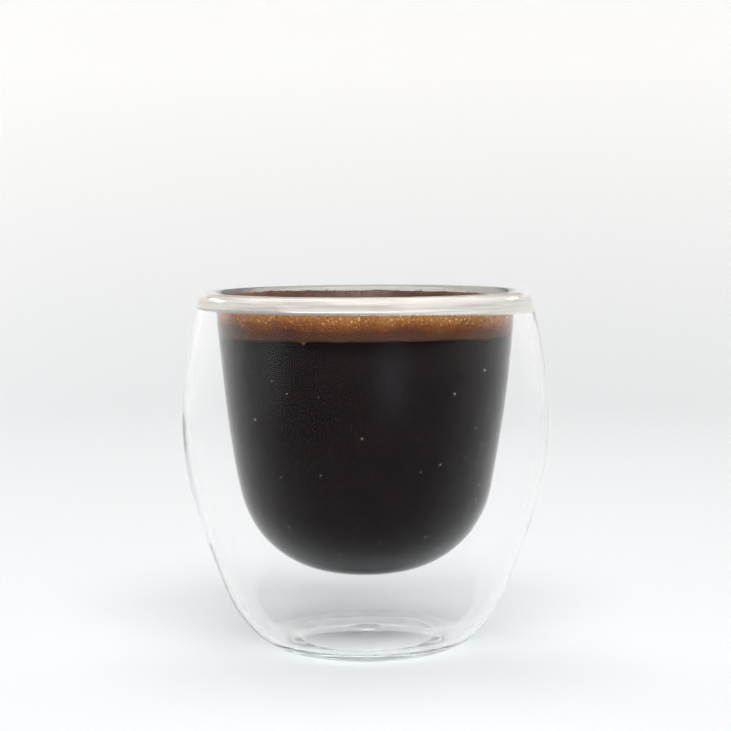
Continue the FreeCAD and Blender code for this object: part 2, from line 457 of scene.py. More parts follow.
def on_wall(heights, deeper):
    """A ring of points against the wall of the bowl, at the heights given."""
    radii = np.array([bowl_radius(height) for height in heights]) + deeper
    return np.column_stack([radii * np.cos(angles), radii * np.sin(angles), heights])


bottom, top = foam_bottom(angles), foam_top(angles)
foam_points = []
for row in range(ROWS_UP + 1):
    foam_points.append(on_wall(bottom + (top - bottom) * row / ROWS_UP, FOAM_SOAK))
outer = np.array([bowl_radius(height) for height in top])
for ring in range(1, RINGS_IN):
    share = 1 - ring / RINGS_IN
    x, y = outer * share * np.cos(angles), outer * share * np.sin(angles)
    heights = np.array([foam_surface(*place) for place in zip(x, y)])
    foam_points.append(np.column_stack([x, y, heights]))
ring_count = len(foam_points)
foam_points.append(np.array([[0.0, 0.0, foam_surface(0.0, ON_AXIS)], [0.0, 0.0, COFFEE_LEVEL]]))

foam_rings = [range(ring * AROUND, (ring + 1) * AROUND) for ring in range(ring_count)]
top_middle, bottom_middle = [ring_count * AROUND] * AROUND, [ring_count * AROUND + 1] * AROUND
foam_faces = bands([bottom_middle, *foam_rings, top_middle])
foam = add_piece("foam_body", [(np.vstack(foam_points), foam_faces)], "foam")

# %% [markdown]
# ## Bubbles
#
# From close by, foam is bubbles.  Those finer than a pencil line are left to
# the material; the larger ones are real domes here, thousands of them joined
# into a few meshes.  A dome is a cap of a ball: a few rings of points and one
# on top, set on a surface with its top pointing out.

# %% Domes
def domes(places, outs, sizes, flatness, around=8, rings=2):
    """Round caps, joined.  Flatness 1 is a half ball, and less is flatter."""
    points, faces = [], []
    for place, out, size in zip(places, outs, sizes):
        out = np.asarray(out) / np.linalg.norm(out)
        side = np.cross(out, [0.0, 0.0, 1.0] if abs(out[2]) < 0.9 else [1.0, 0.0, 0.0])
        side /= np.linalg.norm(side)
        up = np.cross(out, side)
        first = len(points)
        for ring in range(rings):
            rise = ring / rings * math.pi / 2
            for step in range(around):
                turn = 2 * math.pi * (step + 0.5 * ring) / around
                flatwise = math.cos(rise) * (math.cos(turn) * side + math.sin(turn) * up)
                points.append(place + size * (flatwise + flatness * math.sin(rise) * out))
        points.append(place + size * flatness * out)
        cap = [range(first + ring * around, first + (ring + 1) * around) for ring in range(rings)]
        faces += bands([*cap, [first + rings * around] * around])
    return np.array(points), faces


# %% [markdown]
# Bubbles don't overlap much, because each keeps its room.  They are scattered
# one at a time, and one that lands on another is thrown away.  A net of cells
# finds the neighbours quickly.

# %% How to scatter them
CELL = 1.0
NEARBY = [(across, up) for across in (-1, 0, 1) for up in (-1, 0, 1)]


def scatter(wanted, throw, seed, packing=0.9, tries=12):
    """Throw (u, v, size) spots in a plane until enough lie clear of each other."""
    chance = random.Random(seed)
    cells, kept = {}, []
    for _ in range(wanted * tries):
        u, v, size = throw(chance)
        column, row = int(u // CELL), int(v // CELL)
        nearby = (spot for i, j in NEARBY for spot in cells.get((column + i, row + j), ()))
        if all(math.hypot(u - a, v - b) > packing * (size + c) for a, b, c in nearby):
            cells.setdefault((column, row), []).append((u, v, size))
            kept.append((u, v, size))
            if len(kept) == wanted:
                break
    return kept


# %% [markdown]
# ## Bubbles at the side
#
# Through the glass the foam shows its bubbles pressed flat.  They have risen as
# bubbles do: the higher up, the larger they are, and the more of them.

# %% Bubbles against the glass
SIDE_COUNT, SIDE_SEED, SIDE_FLATNESS = 4300, 21, 0.45
SIDE_LEAST, SIDE_MORE, SIDE_DEEPER = 0.05, 0.24, -0.01


def up_the_side(around, level):
    """A place on the unrolled side, at a share of the height of the foam there."""
    bottom, top = float(foam_bottom(around)), float(foam_top(around))
    return around * WALL, bottom + (top - bottom) * level


def throw_side(chance):
    """A bubble on the side: the high ones are larger and more of them."""
    around = chance.uniform(0, 2 * math.pi)
    level = chance.random() ** 0.55
    return *up_the_side(around, level), SIDE_LEAST + SIDE_MORE * level * chance.random() ** 1.8


def press_on_glass(spots, deeper):
    """The places, directions and sizes of spots on the unrolled side."""
    places, outs, sizes = [], [], []
    for u, height, size in spots:
        out = np.array([math.cos(u / WALL), math.sin(u / WALL), 0.0])
        places.append(out * (bowl_radius(height) + FOAM_SOAK + deeper) + [0, 0, height])
        outs.append(out)
        sizes.append(size)
    return places, outs, sizes


side_spots = scatter(SIDE_COUNT, throw_side, SIDE_SEED)
side_caps = domes(*press_on_glass(side_spots, SIDE_DEEPER), SIDE_FLATNESS)
side_bubbles = add_piece("bubbles_on_the_glass", [side_caps])

# %% [markdown]
# A few hundred large bubbles, painted pale as highlights, gather under the top.
# Some more hang at the lower edge, where the foam drips into the coffee.

# %% Large bubbles against the glass, painted pale as highlights
LARGE_COUNT, LARGE_SEED, LARGE_FLATNESS = 230, 71, 0.35
LARGE_LEAST, LARGE_MORE, LARGE_DEEPER, LARGE_PACKING = 0.16, 0.13, 0.01, 1.6
LOWEST_SHARE, HIGHEST_SHARE, USUAL_SHARE = 0.45, 0.88, 0.74
# Each: how far round from the front, how far over the coffee's level, its size.
HANGING = [(-0.41, -0.42, 0.33), (-0.52, 0.35, 0.26), (0.30, 0.5, 0.2),
           (0.95, -0.2, 0.22), (2.3, -0.3, 0.3)]


def throw_large(chance):
    """A large bubble: they gather a little under the top of the foam."""
    around = chance.uniform(0, 2 * math.pi)
    level = chance.triangular(LOWEST_SHARE, HIGHEST_SHARE, USUAL_SHARE)
    return *up_the_side(around, level), LARGE_LEAST + LARGE_MORE * chance.random() ** 1.5


large_spots = scatter(LARGE_COUNT, throw_large, LARGE_SEED, LARGE_PACKING)
large_spots += [((FRONT + place) * WALL, COFFEE_LEVEL + up, size) for place, up, size in HANGING]
large_caps = domes(*press_on_glass(large_spots, LARGE_DEEPER), LARGE_FLATNESS, around=12, rings=3)
large_bubbles = add_piece("large_bubbles_on_the_glass", [large_caps])

# %% [markdown]
# ## Bubbles on top
#
# The top has fine bubbles everywhere.  Large ones drift outwards and end up
# against the glass, so they are more likely there.

# %% Bubbles on top
TOP_COUNT, TOP_SEED, TOP_FLATNESS, TOP_REACH = 4600, 33, 0.6, 0.985
TOP_LEAST, TOP_MORE, TOP_SUNK = 0.10, 0.16, 0.02
LARGE_ON_TOP = (0.28, 0.75)
LARGE_ANYWHERE, LARGE_AT_GLASS, EDGE_OF_TOP = 0.03, 0.12, 25


def throw_top(chance):
    """A bubble on top: mostly fine ones, and a few large near the glass."""
    radius = WALL * math.sqrt(chance.random()) * TOP_REACH
    angle = chance.uniform(0, 2 * math.pi)
    size = TOP_LEAST + TOP_MORE * chance.random() ** 2
    if chance.random() < LARGE_ANYWHERE + LARGE_AT_GLASS * (radius / EDGE_OF_TOP) ** 8:
        size = chance.uniform(*LARGE_ON_TOP)
    return radius * math.cos(angle), radius * math.sin(angle), size


top_spots = scatter(TOP_COUNT, throw_top, TOP_SEED)
places = [np.array([x, y, foam_surface(x, y) - TOP_SUNK]) for x, y, _ in top_spots]
sizes = [size for _, _, size in top_spots]
top_caps = domes(places, [(0, 0, 1)] * len(places), sizes, TOP_FLATNESS)
top_bubbles = add_piece("bubbles_on_top", [top_caps])

# %% [markdown]
# ## What the foam leaves on the wall
#
# The glass was filled, and carried, and the foam has since sunk a little.  It
# left a brown film on the wall above it, thick where it meets the foam and
# ragged at its upper edge, with bubbles stuck in it.  Behind and at the sides
# the film is a millimetre and more high, and in front there is hardly any.  A
# ring of two layers, one just inside the wall, is closed into a thin wedge.

# %% Lay the film
FILM_ROWS, FILM_IN, FILM_DOWN = 8, 0.04, 0.3
FILM_THIN, FILM_THICK = 0.02, 0.35
FILM_HIGH, FILM_TILT = RIM - 1.05, 0.25
FILM_LEAST, FILM_MEAN, FILM_SWING = 0.1, 0.75, 1.9


def film_top(angle):
    """Upper edge of the film, high behind and low in front."""
    share = np.clip(FILM_MEAN + FILM_SWING * np.sin(angle), 0.0, 1.0)
    ragged = waves(angle, seed=9, crests=(5, 9, 14, 23), size=0.09)
    ragged = ragged + waves(angle, seed=10, crests=(37, 58, 83, 131), size=0.05)
    low = foam_top(angle) + FILM_LEAST
    return low + share * (FILM_HIGH - FILM_TILT * np.cos(angle) + ragged - low)


def film_layer(depths):
    """Rings of points up the wall, each so deep inside its surface."""
    foot, head = foam_top(angles) - FILM_DOWN, film_top(angles)
    return [on_wall(foot + (head - foot) * row / FILM_ROWS, depth) for row, depth in enumerate(depths)]


wedge = [-FILM_THIN - FILM_THICK * (1 - row / FILM_ROWS) ** 2 for row in range(FILM_ROWS + 1)]
film_points = film_layer([FILM_IN] * len(wedge)) + film_layer(wedge)[::-1]
film_rings = [range(ring * AROUND, (ring + 1) * AROUND) for ring in range(len(film_points))]
film_faces = bands([*film_rings, film_rings[0]])
film = add_piece("film_on_the_wall", [(np.vstack(film_points), film_faces)])

# %% Bubbles stuck in the film
STUCK_COUNT, STUCK_SEED, STUCK_FLATNESS = 1500, 52, 0.7
STUCK_LEAST, STUCK_MORE, FULL_FILM, PAST_FILM = 0.06, 0.16, 1.8, 0.05

chance = random.Random(STUCK_SEED)
places, outs, sizes = [], [], []
while len(places) < STUCK_COUNT:
    angle = chance.uniform(0, 2 * math.pi)
    low, high = float(foam_top(angle)), float(film_top(angle))
    height = chance.uniform(low, high + PAST_FILM)
    if chance.random() > (high - low) / FULL_FILM:
        continue
    inward = -np.array([math.cos(angle), math.sin(angle), 0.0])
    places.append(-inward * bowl_radius(height) + [0, 0, height])
    outs.append(inward)
    sizes.append(STUCK_LEAST + STUCK_MORE * chance.random() ** 2)
film_bubbles = add_piece("bubbles_in_the_film", [domes(places, outs, sizes, STUCK_FLATNESS)])

# %% [markdown]
# ## Specks at the wall of the coffee
#
# The coffee is not all black.  Tiny bubbles cling to the glass, most of them in
# the upper half, and a few fine grounds have come to rest on the curve of the
# bowl.  They are small domes again, pressed into the wall like the coffee so
# that they show through the glass.

# %% Tiny bubbles and grounds
SPECK_COUNT, SPECK_SEED, SPECK_FLATNESS = 90, 88, 0.6
SPECK_LEAST, SPECK_MORE = 0.13, 0.11
LOW_SHARE, LOW_TO, CLEAR = 0.35, 30, 1.5
HEIGHT_STEP = 0.1


def throw_speck(chance):
    """A speck on the bowl: its angle, its height and its size."""
    if chance.random() < LOW_SHARE:
        height = chance.uniform(BOWL_BOTTOM + CLEAR, LOW_TO)
    else:
        height = chance.uniform(LOW_TO, COFFEE_LEVEL - CLEAR)
    return chance.uniform(0, 2 * math.pi), height, SPECK_LEAST + SPECK_MORE * chance.random() ** 2


chance = random.Random(SPECK_SEED)
places, outs, sizes = [], [], []
coffee_side = np.array(fill_walk.trail)
for _ in range(SPECK_COUNT):
    angle, height, size = throw_speck(chance)
    radius, further = np.interp((height, height + HEIGHT_STEP), coffee_side[:, 1], coffee_side[:, 0])
    slope = math.atan2(further - radius, HEIGHT_STEP)
    flat, down = math.cos(slope), math.sin(slope)
    places.append(np.array([radius * math.cos(angle), radius * math.sin(angle), height]))
    outs.append(np.array([math.cos(angle) * flat, math.sin(angle) * flat, -down]))
    sizes.append(size)
wall_specks = add_piece("specks_in_the_coffee", [domes(places, outs, sizes, SPECK_FLATNESS)])

# %% [markdown]
# ## The painted light in the lip
#
# The lip is the thickest glass of all, and twice melted.  It is full of light
# from everywhere, so it looks pale and does not take the colour of the drink
# behind it.  A clear lip alone would show a brown ring.  Here that light is
# painted: a pale veil just under its surface, a closed skin a few hundredths
# of a millimetre thick that goes from the outside over the crest and down to
# the foam, with the polish of the glass left on top of it.

# %% Lay the painted light under the surface of the lip
LIP_LIGHT_DEPTHS = (0.03, 0.08)
LIP_LIGHT_FOOT, LIP_LIGHT_CLEAR = FOAM_LEVEL - 1.2, 0.2


def lip_light_section(depth):
    """From the shell over the crest and down to the foam, that deep in the glass."""
    outer = [place for place in shell_walk.trail if place[1] > LIP_LIGHT_FOOT]
    inner = [place for place in inside_walk.trail[-2::-1] if place[1] > FOAM_LEVEL + LIP_LIGHT_CLEAR]
    line = np.array(outer + inner + [[WALL, FOAM_LEVEL]])
    ahead = np.gradient(line, axis=0)
    ahead /= np.linalg.norm(ahead, axis=1)[:, None]
    return line + depth * np.column_stack([-ahead[:, 1], ahead[:, 0]])


outer_side, inner_side = (lip_light_section(depth) for depth in LIP_LIGHT_DEPTHS)
lip_light_loop = np.vstack([outer_side, inner_side[::-1], outer_side[:1]])
# This veil is painted light: a pale skin that stands for the light caught in the lip.
lip_light = add_piece("painted_light_in_the_lip", [lathe(lip_light_loop, GLASS_AROUND, blown(SKIN_NOISE))])

# %% [markdown]
# ## Effects that several materials share
#
# A node group is built once and placed in each material with its own numbers.
# Two are enough here.  *Cloudy* gives slow, soft differences of tone.  *Fine
# bubbles* divides a surface into small cells: each has its own tone, a dome for
# the bump, and a dark line where it meets its neighbours.

# %% Colours and nodes
def colour(red, green, blue):
    """A colour as it shows on a screen, from 0 to 255, made linear for a shader."""
    levels = (channel / 255 for channel in (red, green, blue))
    return (*(c / 12.92 if c <= 0.04045 else ((c + 0.055) / 1.055) ** 2.4 for c in levels), 1.0)


def feed(tree, socket, value):
    """Link a node's output to an input, or set the input to a plain value."""
    if isinstance(value, bpy.types.NodeSocket):
        tree.links.new(value, socket)
    else:
        socket.default_value = value


def add_node(tree, kind, *links, **settings):
    """A node with its settings, fed by links: (input, value or output socket)."""
    node = tree.nodes.new(kind)
    for name, value in settings.items():
        setattr(node, name, value)
    for name, value in links:
        feed(tree, node.inputs[name], value)
    return node


# %% Numbers from nodes
def maths(tree, operation, *values, clamp=False):
    """A Math node."""
    links = enumerate(values)
    return add_node(tree, "ShaderNodeMath", *links, operation=operation, use_clamp=clamp).outputs[0]


def stretched(tree, value, start, end, low=0.0, high=1.0):
    """The value, moved so that start becomes low and end becomes high."""
    return add_node(tree, "ShaderNodeMapRange", ("Value", value), ("From Min", start), ("From Max", end),
                    ("To Min", low), ("To Max", high)).outputs["Result"]


def object_place(tree):
    """Where a point of the surface lies, in metres."""
    return add_node(tree, "ShaderNodeTexCoord").outputs["Object"]


def along_axes(tree, place):
    """The X, Y and Z of a place."""
    return add_node(tree, "ShaderNodeSeparateXYZ", ("Vector", place)).outputs


# %% Making and placing groups
def new_group(name, inputs, outputs):
    """An empty node group with number sockets, and its two end nodes."""
    group = bpy.data.node_groups.new(name, "ShaderNodeTree")
    for label, default in inputs.items():
        socket = group.interface.new_socket(label, in_out="INPUT", socket_type="NodeSocketFloat")
        socket.default_value = default
    for label in outputs:
        group.interface.new_socket(label, in_out="OUTPUT", socket_type="NodeSocketFloat")
    ask, give = group.nodes.new("NodeGroupInput").outputs, group.nodes.new("NodeGroupOutput").inputs
    return group, ask, give


def place_group(tree, group, **values):
    """A group in a material, with its own values."""
    node = tree.nodes.new("ShaderNodeGroup")
    node.node_tree = group
    for label, value in values.items():
        node.inputs[label.replace("_", " ")].default_value = value
    return node.outputs


# %% Cloudy
MM_IN_METRE = 1000.0

cloudy, ask, give = new_group(
    "Cloudy", {"Size mm": 8.0, "Low": 0.0, "High": 1.0, "Detail": 3.0}, ["Tone"])
scale = maths(cloudy, "DIVIDE", MM_IN_METRE, ask["Size mm"])
cloud = add_node(cloudy, "ShaderNodeTexNoise", ("Vector", object_place(cloudy)), ("Scale", scale),
                 ("Detail", ask["Detail"])).outputs["Fac"]
cloudy.links.new(stretched(cloudy, cloud, 0.3, 0.7, ask["Low"], ask["High"]), give["Tone"])

# %% Fine bubbles
GAP_WIDTH = 0.16

fine, ask, give = new_group("Fine bubbles", {"Size mm": 0.4}, ["Tone", "Dome", "Gap"])
scale = maths(fine, "DIVIDE", MM_IN_METRE, ask["Size mm"])
cell_links = (("Vector", object_place(fine)), ("Scale", scale))
cells = add_node(fine, "ShaderNodeTexVoronoi", *cell_links).outputs
edges = add_node(fine, "ShaderNodeTexVoronoi", *cell_links, feature="DISTANCE_TO_EDGE").outputs
tone = add_node(fine, "ShaderNodeSeparateColor", ("Color", cells["Color"])).outputs["Red"]
dome = maths(fine, "SUBTRACT", 1.0, maths(fine, "POWER", cells["Distance"], 2.0), clamp=True)
gap = stretched(fine, edges["Distance"], 0.0, GAP_WIDTH, 1.0, 0.0)
for label, value in (("Tone", tone), ("Dome", dome), ("Gap", gap)):
    fine.links.new(value, give[label])
print("groups:", ", ".join(group.name for group in bpy.data.node_groups))

# %% [markdown]
# ## The materials
#
# Each starts from a Principled BSDF.  Numbers that are the same all over are
# set on its own sockets, and only what changes over the surface is linked:
# most often the colour, the roughness and a bump.

# %% Starting a material
def new_material(name, **settings):
    """A material with a Principled BSDF, and its node tree."""
    material = bpy.data.materials.new(name)
    material.use_nodes = True
    tree = material.node_tree
    shader = tree.nodes["Principled BSDF"]
    for label, value in settings.items():
        shader.inputs[label.replace("_", " ")].default_value = value
    return material, tree, shader


def paint(tree, shader, shade):
    """Link the colour."""
    tree.links.new(shade, shader.inputs["Base Color"])


def roughen(tree, shader, size, low, high):
    """A roughness that wanders between two values, in patches of a size in millimetres."""
    patchy = place_group(tree, cloudy, Size_mm=size, Low=low, High=high)["Tone"]
    tree.links.new(patchy, shader.inputs["Roughness"])


def bump(tree, shader, height, depth_mm, strength=1.0):
    """A relief as deep as depth_mm."""
    relief = add_node(tree, "ShaderNodeBump", ("Height", height), ("Distance", depth_mm * MM),
                      ("Strength", strength))
    tree.links.new(relief.outputs["Normal"], shader.inputs["Normal"])


def wear(material, *pieces):
    """Give pieces their material."""
    for piece in pieces:
        piece.data.materials.clear()
        piece.data.materials.append(material)
        print(f"{piece.name} wears {material.name}")


# %% Mixing colours
def colour_steps(tree, factor, *steps):
    """A ramp of (place, colour) steps."""
    ramp = add_node(tree, "ShaderNodeValToRGB", ("Fac", factor))
    elements = ramp.color_ramp.elements
    while len(elements) < len(steps):
        elements.new(0.5)
    for element, (place, shade) in zip(elements, sorted(steps)):
        element.position, element.color = place, shade
    return ramp.outputs["Color"]


def mixed(tree, factor, first, second, blend="MIX"):
    """Two colours, mixed or multiplied."""
    node = add_node(tree, "ShaderNodeMix", data_type="RGBA", blend_type=blend)
    for index, value in ((0, factor), (6, first), (7, second)):
        feed(tree, node.inputs[index], value)
    return node.outputs[2]


# %% [markdown]
# ## Clear glass
#
# Glass shows only what it reflects and what it bends, and full transmission
# with no roughness does both.  Slow ripples in it make straight things waver,
# and a faint grey absorption tells thick glass from thin.  Its Specular Tint is
# low, so that the pale room doesn't grey the black coffee behind it.
#
# A lamp's light does not find its way through a bent wall, and would leave the
# coffee in the dark.  So the glass lets shadow rays pass, slightly dimmed.

# %% Glass
RIPPLE_DEPTH, RIPPLE_STRENGTH, TINT_DENSITY = 0.03, 0.35, 14.0


def no_shade(tree, shader, passed):
    """Let light through to what lies behind, as lamps do through thin glass."""
    through = add_node(tree, "ShaderNodeBsdfTransparent", ("Color", passed))
    ray = add_node(tree, "ShaderNodeLightPath").outputs["Is Shadow Ray"]
    either = add_node(tree, "ShaderNodeMixShader", (0, ray), (1, shader.outputs[0]),
                      (2, through.outputs[0]))
    tree.links.new(either.outputs[0], tree.nodes["Material Output"].inputs["Surface"])


glass_look, tree, shader = new_material(
    "clear_glass", Base_Color=(1.0, 1.0, 1.0, 1.0), Roughness=0.0, IOR=1.47, Transmission_Weight=1.0,
    Specular_Tint=(0.1, 0.1, 0.1, 1.0))
ripples = place_group(tree, cloudy, Size_mm=14.0, Detail=1.0)["Tone"]
bump(tree, shader, ripples, RIPPLE_DEPTH, RIPPLE_STRENGTH)
tint = add_node(tree, "ShaderNodeVolumeAbsorption", ("Color", colour(200, 206, 210)),
                ("Density", TINT_DENSITY))
tree.links.new(tint.outputs[0], tree.nodes["Material Output"].inputs["Volume"])
no_shade(tree, shader, colour(251, 252, 252))
wear(glass_look, glass)

# %% [markdown]
# ## Black coffee
#
# Strong coffee lets next to no light through, so a dark surface does, and a
# volume isn't needed.  It has a cloudy, slightly red depth and a few lighter
# grounds.  The glass touches it all round and does the reflecting, so the
# coffee has no reflection of its own.

# %% Coffee
FEWEST_GROUNDS, GROUNDS_SHOW = 0.97, 0.5

coffee_look, tree, shader = new_material("black_coffee", IOR=1.34, Specular_IOR_Level=0.0)
murk = place_group(tree, cloudy, Size_mm=6.0, Detail=4.0)["Tone"]
deep = mixed(tree, murk, colour(11, 3, 5), colour(21, 10, 12))
grounds = maths(tree, "GREATER_THAN", place_group(tree, fine, Size_mm=0.5)["Tone"], FEWEST_GROUNDS)
paler = maths(tree, "MULTIPLY", grounds, GROUNDS_SHOW)
paint(tree, shader, mixed(tree, paler, deep, colour(62, 46, 38)))
roughen(tree, shader, 3.0, 0.22, 0.34)
wear(coffee_look, coffee)

# %% [markdown]
# ## Specks
#
# Blender gives each separate part of a mesh a random number of its own.  A ramp
# turns it into tones, from brown grounds to pale bubbles.

# %% Specks
def own_number(tree):
    """A random number for each dome of a joined mesh."""
    return add_node(tree, "ShaderNodeNewGeometry").outputs["Random Per Island"]


speck_look, tree, shader = new_material("pale_speck", Specular_IOR_Level=0.5)
paint(tree, shader, colour_steps(tree, own_number(tree), (0.0, colour(96, 76, 66)),
                                 (0.6, colour(150, 134, 124)), (1.0, colour(222, 216, 210))))
roughen(tree, shader, 1.0, 0.1, 0.3)
wear(speck_look, wall_specks)

# %% [markdown]
# ## Foam
#
# At the side the foam is dark where it meets the coffee, golden brown above,
# and palest at the top, where it is driest.  One ramp along its slanted level
# does that, with streaks that push it up and down.  On top it is marbled, and
# painted darker than the side, as shade against the stronger light from above.
# A mask that starts just inside the wall parts the top from the side.  Cells
# finer than the real domes give it the grain of foam.

# %% Where a point lies in the foam
def level_in_foam(tree, low, high):
    """From 0 at one height to 1 at another, along the slant of the foam."""
    x, _, z = along_axes(tree, object_place(tree))
    curved = maths(tree, "MULTIPLY_ADD", x, SADDLE / WALL ** 2 / MM, TILT / WALL)
    slanted = maths(tree, "MULTIPLY_ADD", x, curved, z)
    return stretched(tree, slanted, low * MM, high * MM)


def distance_from_axis(tree):
    """How far out a point lies, in metres."""
    across = add_node(tree, "ShaderNodeVectorMath", (0, object_place(tree)), (1, (1, 1, 0)),
                      operation="MULTIPLY").outputs[0]
    return add_node(tree, "ShaderNodeVectorMath", (0, across), operation="LENGTH").outputs["Value"]


# %% The colours of the foam
SIDE_TONES = (
    (0.0, colour(56, 25, 8)), (0.12, colour(70, 32, 8)), (0.35, colour(96, 48, 12)),
    (0.55, colour(146, 81, 26)), (0.75, colour(190, 125, 60)), (0.92, colour(204, 147, 86)),
    (1.0, colour(198, 162, 120)))
# Inside these radii the top is painted darker than the side, as shade.
SHADED_TOP_FROM, SHADED_TOP_FULL = WALL - 0.1, WALL - 0.9


def foam_shade(tree):
    """Dark at the coffee, golden brown above, and marbled on top, with painted shade on top."""
    level = level_in_foam(tree, COFFEE_LEVEL - 0.3, FOAM_LEVEL + 0.1)
    streaks = place_group(tree, cloudy, Size_mm=5.0, Low=-0.12, High=0.12)["Tone"]
    side = colour_steps(tree, maths(tree, "ADD", level, streaks, clamp=True), *SIDE_TONES)
    swirls = place_group(tree, cloudy, Size_mm=9.0, Detail=5.0)["Tone"]
    froth = place_group(tree, cloudy, Size_mm=2.2, Low=0.0, High=0.55)["Tone"]
    # The top's browns are darker than the side's: painted shade, besides the real marbling.
    top = mixed(tree, swirls, colour(108, 68, 42), colour(160, 112, 72))
    top = mixed(tree, froth, top, colour(186, 140, 96))
    inner = stretched(tree, distance_from_axis(tree), SHADED_TOP_FROM * MM, SHADED_TOP_FULL * MM)
    return mixed(tree, inner, side, top)


# %% Foam
DARK_CELL, LIGHT_CELL, GAP_SHOWS = (0.72, 0.70, 0.68, 1), (1.18, 1.18, 1.2, 1), 0.35

foam_look, tree, shader = new_material("coffee_foam", Specular_IOR_Level=0.35)
grain = place_group(tree, fine, Size_mm=0.32)
cell_tone = mixed(tree, grain["Tone"], DARK_CELL, LIGHT_CELL)
grainy = mixed(tree, 1.0, foam_shade(tree), cell_tone, "MULTIPLY")
gaps = maths(tree, "MULTIPLY", grain["Gap"], GAP_SHOWS)
paint(tree, shader, mixed(tree, gaps, grainy, colour(70, 42, 28)))
roughen(tree, shader, 1.5, 0.35, 0.6)
bump(tree, shader, grain["Dome"], 0.10, 0.8)
wear(foam_look, foam)

# %% [markdown]
# ## The skins of the bubbles
#
# A bubble is a clear skin, and what shows in it is the foam behind.  So it takes
# the foam's colour at its own place, times a tone of its own: some are darker,
# and the palest carry a painted highlight.  The large ones against the glass have
# the strongest painted highlight.

# %% Bubble skins, with painted highlights
def bubble_tone_and_highlight(name, smooth, dull, *tones):
    """The colour of the foam times each bubble's own tone, the palest a painted highlight, and a slight
    shine.
    """
    look, tree, shader = new_material(name, Specular_IOR_Level=0.6)
    tone_and_highlight = colour_steps(tree, own_number(tree), *tones)
    paint(tree, shader, mixed(tree, 1.0, foam_shade(tree), tone_and_highlight, "MULTIPLY"))
    roughen(tree, shader, 1.0, smooth, dull)
    return look


# The lower tones are the bubbles' own random tones; the top tone, above one, is a painted highlight.
bubble_tone_highlight_look = bubble_tone_and_highlight(
    "bubble_tone_and_highlight", 0.08, 0.22, (0.0, (0.50, 0.46, 0.42, 1)), (0.6, (0.95, 0.93, 0.90, 1)),
    (0.85, (1.15, 1.15, 1.15, 1)), (1.0, (1.7, 1.75, 1.9, 1)))
wear(bubble_tone_highlight_look, side_bubbles, top_bubbles)

# Tones far above one: the large bubbles' paleness is a painted highlight.
large_highlight_look = bubble_tone_and_highlight(
    "large_bubble_painted_highlight", 0.1, 0.25, (0.0, (1.0, 1.2, 1.6, 1)), (0.5, (1.2, 1.7, 2.8, 1)),
    (1.0, (1.5, 2.4, 4.5, 1)))
wear(large_highlight_look, large_bubbles)

# %% [markdown]
# ## The film on the wall
#
# Where the film is thin the pale room is painted into its colour, and towards
# the back it is as dark as the foam's edge.  The colour darkens towards the
# back, and the two pairs of browns change over on the way.

# %% Film
THIN_TO, THICK_FROM, FILM_GAPS_SHOW = 12, 25, 0.4

film_look, tree, shader = new_material("brown_film", Specular_IOR_Level=0.4)
patches = place_group(tree, cloudy, Size_mm=2.5, Detail=4.0)["Tone"]
cells = place_group(tree, fine, Size_mm=0.28)
front_to_back = stretched(tree, along_axes(tree, object_place(tree))["Y"], THIN_TO * MM, THICK_FROM * MM)
# The paler browns paint in the pale room seen through the film.
thin = mixed(tree, patches, colour(104, 74, 54), colour(138, 104, 80))
thick = mixed(tree, patches, colour(72, 37, 24), colour(94, 56, 39))
browns = mixed(tree, front_to_back, thin, thick)
gaps = maths(tree, "MULTIPLY", cells["Gap"], FILM_GAPS_SHOW)
paint(tree, shader, mixed(tree, gaps, browns, colour(78, 50, 38)))
roughen(tree, shader, 1.0, 0.25, 0.45)
bump(tree, shader, cells["Dome"], 0.05, 0.7)
wear(film_look, film, film_bubbles)

# %% [markdown]
# ## The lip's painted light
#
# The veil is painted light: a pale matt skin that is partly clear.  How much it
# hides wanders in flat lines, like the streaks in drawn glass.  It starts where
# the foam ends, is fullest on the outside and thin from the crest inwards, so
# that the lip still looks like glass from above.

# %% The lip's painted light
FLATTENED, LINE_SCALE = (1, 1, 22), 90.0
LEAST_VEIL, MOST_VEIL, VEIL_AT_CREST = 0.43, 0.60, 0.20
VEIL_RISE, VEIL_SPREAD = 0.45, 1.3

# The pale veil's material is painted light, not a cloudiness of the glass.
lip_light_look, tree, shader = new_material("painted_lip_light", Roughness=0.45, Specular_IOR_Level=0.2)
flat = add_node(tree, "ShaderNodeVectorMath", (0, object_place(tree)), (1, FLATTENED),
                operation="MULTIPLY").outputs[0]
lines = add_node(tree, "ShaderNodeTexNoise", ("Vector", flat), ("Scale", LINE_SCALE),
                 ("Detail", 3.0)).outputs["Fac"]
veil = stretched(tree, lines, 0.36, 0.56, LEAST_VEIL, MOST_VEIL)
above = level_in_foam(tree, FOAM_LEVEL, FOAM_LEVEL + VEIL_RISE)
outer = stretched(tree, distance_from_axis(tree), crest[0] * MM, (crest[0] + VEIL_SPREAD) * MM,
                  VEIL_AT_CREST, 1.0)
hidden = maths(tree, "MULTIPLY", maths(tree, "MULTIPLY", veil, above), outer)
tree.links.new(hidden, shader.inputs["Alpha"])
# These pale colours are painted light, the light caught in the thick lip.
paint(tree, shader, mixed(tree, lines, colour(201, 199, 193), colour(223, 222, 217)))
bump(tree, shader, place_group(tree, fine, Size_mm=0.3)["Dome"], 0.03, 0.5)
no_shade(tree, shader, (1.0, 1.0, 1.0, 1.0))
wear(lip_light_look, lip_light)

# %% [markdown]
# ## The studio
#
# Clear glass shows what is round it, so the stage matters as much as the
# material.  A shallow round dish of pale card does for floor and backdrop in
# one: it curves up without a corner, and it looks the same from every side.

# %% Floor and backdrop
DISH_FLOOR, DISH_BEND, DISH_TURN = 420.0, 330.0, 78.0
DISH_RUNS, DISH_EVERY, DISH_AROUND, UNDER_FOOT = 3, 8, 96, 0.02

